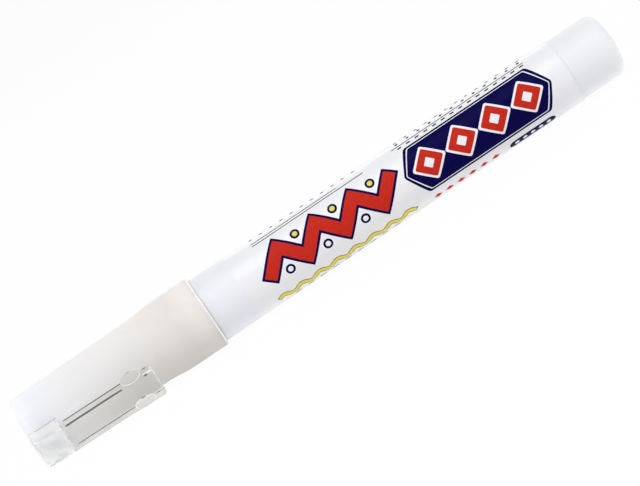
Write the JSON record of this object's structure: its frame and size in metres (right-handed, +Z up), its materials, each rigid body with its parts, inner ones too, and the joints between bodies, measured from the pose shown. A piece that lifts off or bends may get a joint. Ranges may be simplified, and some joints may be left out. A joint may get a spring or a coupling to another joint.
{
  "type": "eraser marker",
  "caption": "Capped felt-tip eraser marker: white tube barrel with a wrapped label, milky push-on cap with a clear pocket clip, chisel nib and fibre reservoir inside.",
  "frame": {"origin": "middle of the part's box on the surface that it lies on", "axes": "+X along the pen's axis towards the tail, +Z up, the clip towards -Y and down"},
  "size_m": [0.138, 0.0198, 0.0153],
  "materials": {
    "white_plastic": "smooth moulded white",
    "label_film": "glossy printed film",
    "soft_plastic": "waxy moulded white",
    "felt": "pressed fibre",
    "sleeve_film": "thin clear film",
    "milky_plastic": "satin, milky translucent",
    "clear_plastic": "polished clear"
  },
  "bodies": {
    "barrel": {"barrel": "white_plastic", "label_film": "label_film", "tail_plug": "white_plastic", "nib_holder": "soft_plastic", "nib": "felt", "fibre_reservoir": "felt", "reservoir_sleeve": "sleeve_film"},
    "cap": {"cap_shell": "milky_plastic", "inner_cap": "soft_plastic"},
    "clip": {"pocket_clip": "clear_plastic"}
  },
  "joints": [
    {"name": "cap_pull", "type": "slide", "parent": "barrel", "child": "cap", "axis": [-1, 0, 0], "range_m": [0, 0.036]},
    {"name": "clip_flex", "type": "hinge", "parent": "cap", "child": "clip", "pos_m": [-0.069, -0.00424, 0.00478], "axis": [0, 0.4023, -0.9155], "range_deg": [0, 5], "stiffness_Nm_per_rad": 0.8}
  ]
}
